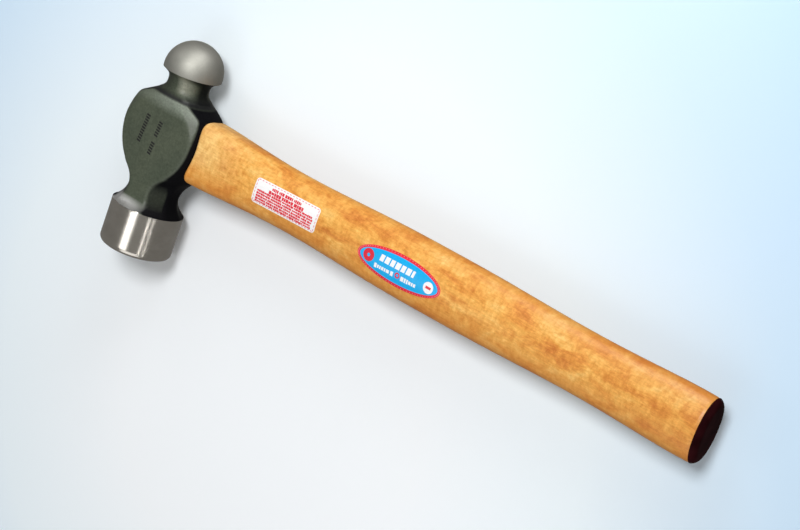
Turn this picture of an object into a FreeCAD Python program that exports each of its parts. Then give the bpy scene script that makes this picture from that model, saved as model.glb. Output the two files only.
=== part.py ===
import FreeCAD, Part
import math
import os
import Sketcher
from FreeCAD import Placement, Rotation, Vector

# Ball peen hammer lying on its side.
# Every piece is drawn about the centre of the eye: X runs along the handle from the head to the
# butt, Y along the head from the striking face to the ball, and Z is square to the flat cheeks.
# The pieces are then moved so that the origin is under the middle of the whole hammer.

SIZES = {
    # where the centre of the eye stands in the part's frame
    "eye_x": -157.9,
    "eye_y": 7.0,
    "eye_z": 20.0,
    # striking face
    "face_radius": 20.0,
    "face_dist": 66.8,
    "face_edge": 3.0,
    "rim_dist": 41.0,
    # lower neck, between the face and the body
    "blank_radius": 16.3,
    "blank_low": 36.0,
    "blank_top": 27.0,
    "neck_dist": 32.0,
    "side_half": 14.6,
    "side_scoop": 13.2,
    "diagonal_half": 14.0,
    "diagonal_scoop": 12.6,
    "diagonal_turn": 38.8,
    # body
    "cheek_half": 13.8,
    "cheek_top": 29.0,
    "cheek_low": 34.5,
    "cheek_flare": 7.5,
    "barrel_low_radius": 20.6,
    "barrel_low": 19.0,
    "barrel_bulge": 36.0,
    "corner_radius": 24.2,
    "corner_dist": 16.8,
    "bevel_radius": 24.2,
    "bevel_low": 4.4,
    "bevel_reach": 9.0,
    "bevel_drop": 5.4,
    "shoulder_core": 9.0,
    # upper neck and ball
    "throat_radius": 11.5,
    "throat_half": 11.35,
    "neck_foot_radius": 13.0,
    "neck_foot": 19.0,
    "throat_flare": 5.85,
    "throat_low": 28.1,
    "throat_top": 29.6,
    "ball_radius": 16.2,
    "ball_dist": 36.6,
    "lip_dist": 34.9,
    "lip_round": 4.5,
    # eye, tenon and wedges
    "eye_round": 8.5,
    "eye_centres": 8.0,
    "tenon_play": 0.05,
    "tenon_proud": 0.3,
    "tenon_root": 40.0,
    "wedge_start": 30.0,
    "kerf_length": 24.0,
    "kerf_mouth": 3.2,
    "kerf_end": 1.0,
    "kerf_width": 30.0,
    "steel_length": 17.0,
    "steel_mouth": 2.8,
    "steel_end": 0.6,
    "steel_width": 12.5,
    # handle
    "root_gap": 0.05,
    "root_round": 2.0,
    "butt_dist": 343.2,
    "butt_round": 4.2,
    "dip_skin": 0.25,
    "dip_start": 340.6,
    # labels
    "label_skin": 0.15,
    "notice_x": 91.2,
    "notice_y": -0.1,
    "notice_length": 43.0,
    "notice_width": 13.4,
    "notice_round": 2.0,
    "notice_turn": 1.0,
    "badge_x": 167.6,
    "badge_y": -1.3,
    "badge_turn": 0.8,
    "badge_half_length": 26.2,
    "badge_half_width": 8.4,
    "label_lift": 20.0,
    # tools that cut or keep a piece, all larger than what they cut
    "cut_length": 120.0,
    "cut_height": 20.0,
    "barrel_reach": 26.0,
    "keep_length": 20.0,
    "keep_width": 60.0,
}

# Handle sections from root to butt: distance along X, half width along Y, half thickness along Z,
# and squareness, the power of the superellipse that shapes the section (2 is a plain ellipse).
SECTIONS = [
    (14.0, 17.3, 10.9, 4.7),
    (36.0, 17.8, 11.3, 3.2),
    (80.0, 15.9, 10.8, 2.2),
    (130.0, 16.6, 11.0, 2.1),
    (185.0, 17.4, 11.3, 2.1),
    (230.0, 16.7, 11.0, 2.1),
    (268.0, 15.7, 10.4, 2.1),
    (315.0, 16.5, 10.6, 2.1),
    (343.2, 16.4, 10.7, 2.1),
]
SECTION_POINTS = 24

LETTERS = "ABCDEFGHI"
COS_45 = math.sqrt(0.5)
ROOT_ZONE = 30.0      # the edges round the handle's root are nearer than this to the eye's centre
CLOSE = 0.01          # play allowed where an edge is found by its place

# Turns of a tool's own X, Y and Z
ALONG_X = Rotation(Vector(1, 1, 1), 120)          # to Y, Z and X
LEVEL_WEDGE = Rotation(Vector(1, 1, 1), 240)      # to Z, X and Y
UPRIGHT_WEDGE = Rotation(Vector(1, 1, 0), 180)    # to Y, X and downwards

doc = FreeCAD.newDocument("ball_peen_hammer")
sheet = doc.addObject("Spreadsheet::Sheet", "Sizes")


def fill_sheet():
    """Write every driving size and every handle section to the sheet as a plain number."""
    cells = dict(SIZES)
    for letter, section in zip(LETTERS, SECTIONS):
        for kind, value in zip(("dist", "width", "thick", "square"), section):
            cells["section_%s_%s" % (kind, letter)] = value
    for row, (alias, value) in enumerate(cells.items(), start=1):
        sheet.set("A%d" % row, alias)
        sheet.set("B%d" % row, str(value))
        sheet.setAlias("B%d" % row, alias)
    doc.recompute()


def bind(obj, **expressions):
    """Bind an object's sizes to the sheet; double underscores stand for dots."""
    for name, expression in expressions.items():
        obj.setExpression(name.replace("__", "."), expression)


def cell(alias):
    return "Sizes." + alias


def stand(obj):
    """Put a finished piece in the part's frame."""
    obj.setExpression("Placement.Base.x", cell("eye_x"))
    obj.setExpression("Placement.Base.y", cell("eye_y"))
    obj.setExpression("Placement.Base.z", cell("eye_z"))


# ---------------------------------------------------------------- sketch helpers

def outline(sketch, start, *steps, smooth=()):
    """Draw a closed outline whose steps are end points, or middle and end points for arcs.

    Edges are numbered from 0; smooth lists those that run tangent into the next one."""
    corners = [Vector(start[0], start[1], 0)]
    for step in steps:
        here = corners[-1]
        there = Vector(step[-2], step[-1], 0)
        corners.append(there)
        if len(step) == 2:
            sketch.addGeometry(Part.LineSegment(here, there), False)
            continue
        middle = Vector(step[0], step[1], 0)
        clockwise = (middle - here).cross(there - middle).z < 0
        arc = Part.Arc(there, middle, here) if clockwise else Part.Arc(here, middle, there)
        sketch.addGeometry(arc, False)
    if (corners[-1] - corners[0]).Length > 1e-6:
        sketch.addGeometry(Part.LineSegment(corners[-1], corners[0]), False)
    else:
        corners.pop()
    count = len(corners)
    for index in range(count):
        after = (index + 1) % count
        end = end_near(sketch, index, corners[after])
        begin = end_near(sketch, after, corners[after])
        kind = "Tangent" if index in smooth else "Coincident"
        sketch.addConstraint(Sketcher.Constraint(kind, index, end, after, begin))


def ends(sketch, index):
    edge = sketch.Geometry[index]
    return {1: edge.StartPoint, 2: edge.EndPoint}


def end_near(sketch, index, point):
    """1 or 2: which end of an edge lies at a point."""
    distances = {end: (place - point).Length for end, place in ends(sketch, index).items()}
    return min(distances, key=distances.get)


def fix(sketch, point, across=None, up=None):
    """Hold the corner at a point by its distances from the origin; a leading minus turns the side."""
    place = Vector(point[0], point[1], 0)
    nearest = min(range(sketch.GeometryCount),
                  key=lambda index: min((p - place).Length for p in ends(sketch, index).values()))
    end = end_near(sketch, nearest, place)
    for kind, alias in (("DistanceX", across), ("DistanceY", up)):
        if alias is None:
            continue
        if alias == "axis":
            axis = -2 if kind == "DistanceX" else -1
            sketch.addConstraint(Sketcher.Constraint("PointOnObject", nearest, end, axis))
            continue
        value = SIZES[alias.lstrip("-")]
        if alias.startswith("-"):
            number = sketch.addConstraint(Sketcher.Constraint(kind, nearest, end, -1, 1, value))
        else:
            number = sketch.addConstraint(Sketcher.Constraint(kind, -1, 1, nearest, end, value))
        sketch.setExpression("Constraints[%d]" % number, cell(alias.lstrip("-")))


def hold(sketch, kind, *where, size):
    """Add a radius or length constraint whose size is a cell."""
    value = SIZES[size]
    number = sketch.addConstraint(Sketcher.Constraint(kind, *where, value))
    sketch.setExpression("Constraints[%d]" % number, cell(size))


def base_plane(body, role):
    for feature in body.Origin.OriginFeatures:
        if feature.Role == role:
            return feature
    raise ValueError(role)


def body_sketch(body, name, role, offset=None):
    sketch = body.newObject("Sketcher::SketchObject", name)
    sketch.AttachmentSupport = [(base_plane(body, role), "")]
    sketch.MapMode = "FlatFace"
    if offset is not None:
        sketch.AttachmentOffset = offset
    return sketch


def volume(body):
    doc.recompute()
    for obj in doc.Objects:
        if "Invalid" in obj.State:
            raise RuntimeError("%s is invalid: %s" % (obj.Name, obj.getStatusString()))
    return body.Shape.Volume


def check_cut(body, before, least):
    """Stop if a cut took away less than it should."""
    taken = before - volume(body)
    if taken < least:
        raise RuntimeError("%s: the last cut took only %.1f mm3" % (body.Label, taken))
    print("%s cut %.0f mm3" % (body.Tip.Label, taken))


# ---------------------------------------------------------------- head

def tangent_arc(wall, radius, level, target):
    """Ends and middle of the arc that leaves an upright wall at a level and runs tangent to a target."""
    centre = Vector(wall + radius, level, 0)
    line = Vector(target[0], target[1], 0) - centre
    spread = math.acos(radius / line.Length)
    heading = math.atan2(line.y, line.x)
    heading += spread if line.y > 0 else -spread
    half_way = (heading + math.copysign(math.pi, line.y)) / 2
    end = centre + Vector(math.cos(heading), math.sin(heading), 0) * radius
    middle = centre + Vector(math.cos(half_way), math.sin(half_way), 0) * radius
    return end, middle


def throat_arcs():
    """The two fillets of the upper neck: down to the shoulder, and up to the ball's lower edge."""
    s = SIZES
    lip = math.sqrt(s["ball_radius"] ** 2 - (s["ball_dist"] - s["lip_dist"]) ** 2)
    flare = tangent_arc(s["throat_radius"], s["throat_flare"], s["throat_low"],
                        (s["corner_radius"], s["corner_dist"]))
    root = tangent_arc(s["throat_radius"], s["lip_round"], s["throat_top"], (lip, s["lip_dist"]))
    return lip, flare, root


def barrel_arc():
    """Centre and middle of the bulged arc between the neck's top and the shoulder's corner."""
    s = SIZES
    low = Vector(s["barrel_low_radius"], -s["barrel_low"], 0)
    high = Vector(s["corner_radius"], s["corner_dist"], 0)
    chord = high - low
    inward = Vector(-chord.y, chord.x, 0) / chord.Length
    centre = (low + high) / 2 + inward * math.sqrt(s["barrel_bulge"] ** 2 - chord.Length ** 2 / 4)
    return centre, centre - inward * s["barrel_bulge"]


def body_profile(body):
    """Half outline of the forging from the striking face up to its shoulder, which runs in to a core."""
    s = SIZES
    edge = s["face_edge"]
    corner = edge * COS_45
    bulge = barrel_arc()[1]
    flare_end = throat_arcs()[1][0]
    slope = (flare_end.y - s["corner_dist"]) / (s["corner_radius"] - flare_end.x)
    core_y = s["corner_dist"] + slope * (s["corner_radius"] - s["shoulder_core"])

    sketch = body_sketch(body, "BodyProfile", "XY_Plane")
    outline(
        sketch, (0, -s["face_dist"]),
        (s["face_radius"] - edge, -s["face_dist"]),
        (s["face_radius"] - edge + corner, -s["face_dist"] + edge - corner,
         s["face_radius"], -s["face_dist"] + edge),
        (s["face_radius"], -s["rim_dist"]),
        (s["blank_radius"], -s["blank_low"]),
        (s["blank_radius"], -s["blank_top"]),
        (s["barrel_low_radius"], -s["barrel_low"]),
        (bulge.x, bulge.y, s["corner_radius"], s["corner_dist"]),
        (s["shoulder_core"], core_y),
        (0, core_y),
        smooth=(0, 1),
    )
    face, rounding, wall, barrel, cap = 0, 1, 2, 6, 8
    fix(sketch, (0, -s["face_dist"]), "axis", "-face_dist")
    fix(sketch, (s["face_radius"], -s["rim_dist"]), "face_radius", "-rim_dist")
    fix(sketch, (s["blank_radius"], -s["blank_low"]), "blank_radius", "-blank_low")
    fix(sketch, (s["blank_radius"], -s["blank_top"]), "blank_radius", "-blank_top")
    fix(sketch, (s["barrel_low_radius"], -s["barrel_low"]), "barrel_low_radius", "-barrel_low")
    fix(sketch, (s["corner_radius"], s["corner_dist"]), "corner_radius", "corner_dist")
    fix(sketch, (s["shoulder_core"], core_y), "shoulder_core")
    fix(sketch, (0, core_y), "axis")
    sketch.addConstraint(Sketcher.Constraint("Horizontal", face))
    sketch.addConstraint(Sketcher.Constraint("Vertical", wall))
    sketch.addConstraint(Sketcher.Constraint("Horizontal", cap))
    sketch.addConstraint(Sketcher.Constraint("DistanceY", -1, 1, cap, 1, core_y))
    hold(sketch, "Radius", rounding, size="face_edge")
    hold(sketch, "Radius", barrel, size="barrel_bulge")
    return sketch


def neck_profile(body):
    """Half outline of the upper neck and the ball, from a foot buried in the body."""
    s = SIZES
    lip, flare, root = throat_arcs()
    top = s["ball_dist"] + s["ball_radius"]
    ball_low = math.asin((s["lip_dist"] - s["ball_dist"]) / s["ball_radius"])
    ball_mid = (math.pi / 2 + ball_low) / 2
    sketch = body_sketch(body, "NeckProfile", "XY_Plane")
    outline(
        sketch, (0, s["neck_foot"]),
        (s["neck_foot_radius"], s["neck_foot"]),
        (flare[0].x, flare[0].y),
        (flare[1].x, flare[1].y, s["throat_radius"], s["throat_low"]),
        (s["throat_radius"], s["throat_top"]),
        (root[1].x, root[1].y, root[0].x, root[0].y),
        (lip, s["lip_dist"]),
        (s["ball_radius"] * math.cos(ball_mid), s["ball_dist"] + s["ball_radius"] * math.sin(ball_mid),
         0, top),
        smooth=(2, 3, 4),
    )
    foot, flare_arc, throat, root_arc, ball = 0, 2, 3, 4, 6
    fix(sketch, (0, s["neck_foot"]), "axis", "neck_foot")
    fix(sketch, (s["neck_foot_radius"], s["neck_foot"]), "neck_foot_radius")
    fix(sketch, (s["throat_radius"], s["throat_low"]), "throat_radius", "throat_low")
    fix(sketch, (s["throat_radius"], s["throat_top"]), up="throat_top")
    fix(sketch, (lip, s["lip_dist"]), up="lip_dist")
    fix(sketch, (0, top), "axis")
    sketch.addConstraint(Sketcher.Constraint("Horizontal", foot))
    sketch.addConstraint(Sketcher.Constraint("Vertical", throat))
    flare_start = end_near(sketch, flare_arc, flare[0])
    sketch.addConstraint(Sketcher.Constraint("DistanceX", -1, 1, flare_arc, flare_start, flare[0].x))
    sketch.addConstraint(Sketcher.Constraint("PointOnObject", ball, 3, -2))
    hold(sketch, "Radius", flare_arc, size="throat_flare")
    hold(sketch, "Radius", root_arc, size="lip_round")
    hold(sketch, "Radius", ball, size="ball_radius")
    hold(sketch, "DistanceY", -1, 1, ball, 3, size="ball_dist")
    return sketch


def revolve(body, profile, name):
    turned = body.newObject("PartDesign::Revolution", name)
    turned.Profile = profile
    turned.ReferenceAxis = (profile, ["V_Axis"])
    turned.Angle = 360
    volume(body)


def through_cut(body, sketch, name):
    """Cut a sketch right through, to both sides of its plane."""
    cut = body.newObject("PartDesign::Pocket", name)
    cut.Profile = sketch
    cut.SideType = "Symmetric"
    bind(cut, Length=cell("cut_length"))
    return cut


def mirror(body, feature, role, name):
    copy = body.newObject("PartDesign::Mirrored", name)
    copy.Originals = [feature]
    copy.MirrorPlane = (base_plane(body, role), [""])
    body.Tip = copy


def cut_cheeks(body):
    """Flat cheeks that run down the front of the neck and flare out at the face's rim."""
    s = SIZES
    before = volume(body)
    sketch = body_sketch(body, "CheekOutline", "YZ_Plane")
    high = s["cheek_half"] + s["cut_height"]
    flare = s["cheek_flare"]
    outline(
        sketch, (s["cheek_top"], s["cheek_half"]),
        (-s["cheek_low"], s["cheek_half"]),
        (-s["cheek_low"] - flare * COS_45, s["cheek_half"] + flare * (1 - COS_45),
         -s["cheek_low"] - flare, s["cheek_half"] + flare),
        (-s["cheek_low"] - flare, high),
        (s["cheek_top"], high),
        smooth=(0, 1),
    )
    fix(sketch, (s["cheek_top"], s["cheek_half"]), "cheek_top", "cheek_half")
    fix(sketch, (-s["cheek_low"], s["cheek_half"]), "-cheek_low")
    for level in (0, 3):
        sketch.addConstraint(Sketcher.Constraint("Horizontal", level))
    for upright in (2, 4):
        sketch.addConstraint(Sketcher.Constraint("Vertical", upright))
    hold(sketch, "Radius", 1, size="cheek_flare")
    sketch.addConstraint(Sketcher.Constraint("DistanceY", -1, 1, 2, 2, high))
    cheek = through_cut(body, sketch, "Cheek")
    mirror(body, cheek, "XY_Plane", "OtherCheek")
    check_cut(body, before, least=5000)


def scoop_pair(body, name, half, radius, level, offset=None):
    """Round scoops across a neck: two equal circles beside it, at a level along the head."""
    sketch = body_sketch(body, name + "Circles", "XY_Plane", offset)
    out = SIZES[half] + SIZES[radius]
    up = SIZES[level.lstrip("-")]
    if level.startswith("-"):
        up = -up
    for index, side in enumerate((1, -1)):
        sketch.addGeometry(Part.Circle(Vector(side * out, up, 0), Vector(0, 0, 1), SIZES[radius]), False)
        centre, origin = (index, 3), (-1, 1)
        hold(sketch, "Radius", index, size=radius)
        rising = origin + centre if up > 0 else centre + origin
        hold(sketch, "DistanceY", *rising, size=level.lstrip("-"))
        across = origin + centre if side > 0 else centre + origin
        number = sketch.addConstraint(Sketcher.Constraint("DistanceX", *across, out))
        sketch.setExpression("Constraints[%d]" % number, cell(half) + " + " + cell(radius))
    return through_cut(body, sketch, name)


def cut_neck(body):
    """Scoops on the sides and on the four diagonals make the lower neck eight-sided."""
    before = volume(body)
    scoop_pair(body, "SideScoops", "side_half", "side_scoop", "-neck_dist")
    check_cut(body, before, least=300)
    before = volume(body)
    turned = Placement(Vector(0, 0, 0), Rotation(Vector(0, 1, 0), -SIZES["diagonal_turn"]))
    diagonal = scoop_pair(body, "DiagonalScoops", "diagonal_half", "diagonal_scoop", "-neck_dist", turned)
    mirror(body, diagonal, "XY_Plane", "OtherDiagonalScoops")
    check_cut(body, before, least=500)


def cut_throat(body):
    """Flats on the front and back of the upper neck, so that its flare stays on the handle's sides."""
    s = SIZES
    before = volume(body)
    sketch = body_sketch(body, "ThroatFlat", "YZ_Plane")
    high = s["throat_half"] + s["cut_height"]
    outline(
        sketch, (0, s["throat_half"]),
        (s["throat_top"], s["throat_half"]),
        (s["throat_top"], high),
        (0, high),
    )
    fix(sketch, (0, s["throat_half"]), "axis")
    fix(sketch, (s["throat_top"], s["throat_half"]), "throat_top", "throat_half")
    for level in (0, 2):
        sketch.addConstraint(Sketcher.Constraint("Horizontal", level))
    for upright in (1, 3):
        sketch.addConstraint(Sketcher.Constraint("Vertical", upright))
    sketch.addConstraint(Sketcher.Constraint("DistanceY", -1, 1, 2, 2, high))
    flat = through_cut(body, sketch, "ThroatFlat")
    mirror(body, flat, "XY_Plane", "OtherThroatFlat")
    check_cut(body, before, least=20)


def cut_bevels(body):
    """A shallow conical bevel round the ball end of each cheek, about an axis square to the cheek."""
    s = SIZES
    before = volume(body)
    below = Placement(Vector(0, 0, s["bevel_low"]), Rotation())
    sketch = body_sketch(body, "BevelSection", "XZ_Plane", below)
    sketch.setExpression("AttachmentOffset.Base.z", cell("bevel_low"))
    far = s["bevel_radius"] + s["bevel_reach"]
    low = s["cheek_half"] - s["bevel_drop"]
    outline(
        sketch, (s["bevel_radius"], s["cheek_half"]),
        (far, low),
        (far, s["cheek_half"]),
    )
    fix(sketch, (s["bevel_radius"], s["cheek_half"]), "bevel_radius", "cheek_half")
    sketch.addConstraint(Sketcher.Constraint("Vertical", 1))
    sketch.addConstraint(Sketcher.Constraint("Horizontal", 2))
    hold(sketch, "DistanceX", 2, 2, 2, 1, size="bevel_reach")
    hold(sketch, "DistanceY", 1, 1, 1, 2, size="bevel_drop")
    bevel = body.newObject("PartDesign::Groove", "Bevel")
    bevel.Profile = sketch
    bevel.ReferenceAxis = (sketch, ["V_Axis"])
    bevel.Angle = 180
    mirror(body, bevel, "XY_Plane", "OtherBevel")
    check_cut(body, before, least=100)


def stadium(sketch, half_length, end_radius):
    """An oval with straight sides, long in the sketch's first direction."""
    outline(
        sketch, (-half_length, -end_radius),
        (half_length, -end_radius),
        (half_length + end_radius, 0, half_length, end_radius),
        (-half_length, end_radius),
        (-half_length - end_radius, 0, -half_length, -end_radius),
        smooth=(0, 1, 2, 3),
    )
    sketch.addConstraint(Sketcher.Constraint("Horizontal", 0))
    sketch.addConstraint(Sketcher.Constraint("Equal", 1, 3))
    sketch.addConstraint(Sketcher.Constraint("Symmetric", 1, 3, 3, 3, -1, 1))


def cut_eye(body):
    s = SIZES
    before = volume(body)
    sketch = body_sketch(body, "EyeOutline", "YZ_Plane")
    stadium(sketch, s["eye_centres"] / 2, s["eye_round"])
    hold(sketch, "Radius", 1, size="eye_round")
    hold(sketch, "DistanceX", 3, 3, 1, 3, size="eye_centres")
    through_cut(body, sketch, "Eye")
    check_cut(body, before, least=15000)


def make_head():
    body = doc.addObject("PartDesign::Body", "HeadBody")
    revolve(body, body_profile(body), "BodyBlank")
    cut_cheeks(body)
    cut_neck(body)
    cut_bevels(body)
    cut_eye(body)
    neck = doc.addObject("PartDesign::Body", "NeckAndBall")
    revolve(neck, neck_profile(neck), "NeckBlank")
    cut_throat(neck)
    head = boolean("Fuse", "Head", body, neck)
    head.Refine = True
    head.Label = "hammer_head"
    stand(head)
    return head


# ---------------------------------------------------------------- handle

def barrel_solid(name, grow, seam_turn):
    """The body's barrel as a plain solid of revolution, grown by a cell, with its seam turned away."""
    centre = barrel_arc()[0]
    radius = SIZES["barrel_bulge"] + SIZES[grow]
    reach = SIZES["barrel_reach"]
    low_x = centre.x + math.sqrt(radius ** 2 - (reach + centre.y) ** 2)
    high_x = centre.x + math.sqrt(radius ** 2 - (reach - centre.y) ** 2)
    sketch = doc.addObject("Sketcher::SketchObject", name + "Outline")
    outline(
        sketch, (0, -reach),
        (low_x, -reach),
        (centre.x + radius, centre.y, high_x, reach),
        (0, reach),
    )
    arc = 1
    fix(sketch, (0, -reach), "axis")
    fix(sketch, (0, reach), "axis")
    sketch.addConstraint(Sketcher.Constraint("Horizontal", 0))
    sketch.addConstraint(Sketcher.Constraint("Horizontal", 2))
    hold(sketch, "DistanceY", 3, 2, -1, 1, size="barrel_reach")
    hold(sketch, "DistanceY", -1, 1, 3, 1, size="barrel_reach")
    sketch.addConstraint(Sketcher.Constraint("DistanceX", arc, 3, -1, 1, -centre.x))
    sketch.addConstraint(Sketcher.Constraint("DistanceY", -1, 1, arc, 3, centre.y))
    number = sketch.addConstraint(Sketcher.Constraint("Radius", arc, radius))
    sketch.setExpression("Constraints[%d]" % number, cell("barrel_bulge") + " + " + cell(grow))
    solid = doc.addObject("Part::Revolution", name)
    solid.Source = sketch
    solid.Axis = Vector(0, 1, 0)
    solid.Base = Vector(0, 0, 0)
    solid.Angle = 360
    solid.Solid = True
    solid.Placement = Placement(Vector(0, 0, 0), Rotation(Vector(0, 1, 0), seam_turn))
    return solid


def superellipse(half_width, half_thickness, power):
    """A closed smooth oval, squarer than an ellipse when the power is over 2."""
    points = []
    for step in range(SECTION_POINTS):
        angle = 2 * math.pi * step / SECTION_POINTS
        across = math.copysign(abs(math.cos(angle)) ** (2 / power), math.cos(angle))
        up = math.copysign(abs(math.sin(angle)) ** (2 / power), math.sin(angle))
        points.append(Vector(half_width * across, half_thickness * up, 0))
    curve = Part.BSplineCurve()
    curve.interpolate(points, PeriodicFlag=True)
    return Part.Wire([curve.toShape()])


def grip_loft(name, grow=None):
    """The handle's outside, lofted through oval sections, with an even skin added if it is asked for."""
    skin = 0.0 if grow is None else sheet.get(grow)
    sections = []
    for letter in LETTERS:
        dist, width, thick, square = (sheet.get("section_%s_%s" % (kind, letter))
                                      for kind in ("dist", "width", "thick", "square"))
        if letter == LETTERS[-1]:
            dist += skin
        oval = doc.addObject("Part::Feature", name + "Section" + letter)
        oval.Shape = superellipse(width + skin, thick + skin, square)
        oval.Placement = Placement(Vector(dist, 0, 0), ALONG_X)
        sections.append(oval)
    loft = doc.addObject("Part::Loft", name)
    loft.Sections = sections
    loft.Solid = True
    loft.Ruled = False
    doc.recompute()
    return loft


def boolean(kind, name, base, tool):
    result = doc.addObject("Part::" + kind, name)
    result.Base = base
    result.Tool = tool
    doc.recompute()
    return result


def rounded(name, base, chosen, radius):
    """Round the edges of a shape that pass a test, with a radius from the sheet."""
    result = doc.addObject("Part::Fillet", name)
    result.Base = base
    edges = [number for number, edge in enumerate(base.Shape.Edges, start=1) if chosen(edge)]
    result.Edges = [(number, SIZES[radius], SIZES[radius]) for number in edges]
    doc.recompute()
    return result


def tenon_prism():
    """The straight oval stem that fills the eye."""
    s = SIZES
    sketch = doc.addObject("Sketcher::SketchObject", "TenonOutline")
    sketch.Placement = Placement(Vector(0, 0, 0), ALONG_X)
    stadium(sketch, s["eye_centres"] / 2, s["eye_round"] - s["tenon_play"])
    number = sketch.addConstraint(Sketcher.Constraint("Radius", 1, s["eye_round"] - s["tenon_play"]))
    sketch.setExpression("Constraints[%d]" % number, cell("eye_round") + " - " + cell("tenon_play"))
    hold(sketch, "DistanceX", 3, 3, 1, 3, size="eye_centres")
    prism = doc.addObject("Part::Extrusion", "TenonStem")
    prism.Base = sketch
    prism.Dir = Vector(1, 0, 0)
    prism.DirMode = "Custom"
    prism.Solid = True
    bind(prism, LengthFwd=cell("tenon_root"), LengthRev=cell("tenon_root"))
    return prism


def wedge_solid(name, kind, turn):
    """A taper driven in from the outer side of the head; its sizes are the cells named after its kind."""
    wedge = doc.addObject("Part::Wedge", name)
    wedge.Placement = Placement(Vector(0, 0, 0), turn)
    bind(wedge, Ymin="0 mm", Ymax=cell(kind + "_length"), Placement__Base__x="-" + cell("wedge_start"))
    for side, thickness in (("X", "_mouth"), ("X2", "_end"), ("Z", "_width"), ("Z2", "_width")):
        wedge.setExpression(side + "min", "-" + cell(kind + thickness) + " / 2")
        wedge.setExpression(side + "max", cell(kind + thickness) + " / 2")
    return wedge


def near_root(edge):
    return edge.BoundBox.XMax < ROOT_ZONE


def at_butt(edge):
    return edge.BoundBox.XMin > SIZES["butt_dist"] - CLOSE


def make_tenon_pieces():
    """The stem in the eye, cut off level with the head, and the two tapers driven into it."""
    stem = boolean("Common", "Tenon", tenon_prism(), barrel_solid("TenonEnd", "tenon_proud", seam_turn=0))
    kerf = wedge_solid("Kerf", "kerf", LEVEL_WEDGE)
    slit = wedge_solid("Slit", "steel", UPRIGHT_WEDGE)
    return stem, kerf, slit


def make_handle(stem, kerf, slit):
    hollow = barrel_solid("GripHollow", "root_gap", seam_turn=180)
    grip = boolean("Cut", "GripAtHead", grip_loft("Grip"), hollow)
    root = rounded("GripRoot", grip, near_root, "root_round")
    whole = boolean("Fuse", "GripAndTenon", root, stem)
    butt = rounded("ButtRounded", whole, at_butt, "butt_round")
    split = boolean("Cut", "SplitTenon", butt, kerf)
    handle = boolean("Cut", "Handle", split, slit)
    handle.Label = "handle"
    stand(handle)
    return handle


def make_wedges(stem, kerf, slit):
    wood = boolean("Common", "WoodTaper", stem, kerf)
    wooden = boolean("Cut", "WoodenWedge", wood, slit)
    wooden.Label = "wooden_wedge"
    steel = boolean("Common", "SteelWedge", slit, doc.getObject("TenonEnd"))
    steel.Label = "steel_wedge"
    for piece in (wooden, steel):
        stand(piece)
    return wooden, steel


def make_butt_dip():
    """The coat of lacquer that the butt end is dipped in, as a thin shell over the wood."""
    coat = rounded("DipOutside", grip_loft("DipLoft", "dip_skin"), at_butt, "butt_round")
    wood = rounded("DipInside", doc.getObject("Grip"), at_butt, "butt_round")
    shell = boolean("Cut", "DipShell", coat, wood)
    keep = doc.addObject("Part::Box", "DipLength")
    half_back = "-" + cell("keep_width") + " / 2"
    bind(keep,
         Length=cell("keep_length"),
         Width=cell("keep_width"),
         Height=cell("keep_width"),
         Placement__Base__x=cell("dip_start"),
         Placement__Base__y=half_back,
         Placement__Base__z=half_back)
    dip = boolean("Common", "ButtDip", shell, keep)
    dip.Label = "butt_dip"
    stand(dip)
    return dip


def label_prism(name, outline_object, kind):
    """Lift a label's outline through the upper side of the handle."""
    turn = Rotation(Vector(0, 0, 1), SIZES[kind + "_turn"])
    outline_object.Placement = Placement(Vector(0, 0, 0), turn)
    bind(outline_object,
         Placement__Base__x=cell(kind + "_x"),
         Placement__Base__y=cell(kind + "_y"),
         Placement__Rotation__Angle=cell(kind + "_turn"))
    prism = doc.addObject("Part::Extrusion", name)
    prism.Base = outline_object
    prism.Dir = Vector(0, 0, 1)
    prism.DirMode = "Custom"
    prism.Solid = True
    bind(prism, LengthFwd=cell("label_lift"))
    return prism


def notice_outline():
    """A rectangle with rounded corners."""
    s = SIZES
    sketch = doc.addObject("Sketcher::SketchObject", "NoticeOutline")
    far = s["notice_length"] / 2
    top = s["notice_width"] / 2
    corner = s["notice_round"]
    bend = corner * (1 - COS_45)
    outline(
        sketch, (-far + corner, -top),
        (far - corner, -top),
        (far - bend, -top + bend, far, -top + corner),
        (far, top - corner),
        (far - bend, top - bend, far - corner, top),
        (-far + corner, top),
        (-far + bend, top - bend, -far, top - corner),
        (-far, -top + corner),
        (-far + bend, -top + bend, -far + corner, -top),
        smooth=range(8),
    )
    for line, direction in ((0, "Horizontal"), (2, "Vertical"), (4, "Horizontal"), (6, "Vertical")):
        sketch.addConstraint(Sketcher.Constraint(direction, line))
    for arc in (3, 5, 7):
        sketch.addConstraint(Sketcher.Constraint("Equal", 1, arc))
    sketch.addConstraint(Sketcher.Constraint("Symmetric", 1, 3, 5, 3, -1, 1))
    hold(sketch, "Radius", 1, size="notice_round")
    hold(sketch, "DistanceX", 6, 1, 2, 1, size="notice_length")
    hold(sketch, "DistanceY", 0, 1, 4, 2, size="notice_width")
    return sketch


def badge_outline():
    oval = doc.addObject("Part::Ellipse", "BadgeOutline")
    bind(oval, MajorRadius=cell("badge_half_length"), MinorRadius=cell("badge_half_width"))
    return oval


def make_labels():
    """Two printed stickers, each a thin sheet bent over the upper side of the handle."""
    skin = boolean("Cut", "LabelSkin", grip_loft("LabelLoft", "label_skin"), doc.getObject("Grip"))
    notice = boolean("Common", "Notice", skin, label_prism("NoticePrism", notice_outline(), "notice"))
    notice.Label = "rectangular_label"
    badge = boolean("Common", "Badge", skin, label_prism("BadgePrism", badge_outline(), "badge"))
    badge.Label = "oval_label"
    for piece in (notice, badge):
        stand(piece)
    return notice, badge


# ---------------------------------------------------------------- checks and files

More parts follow.
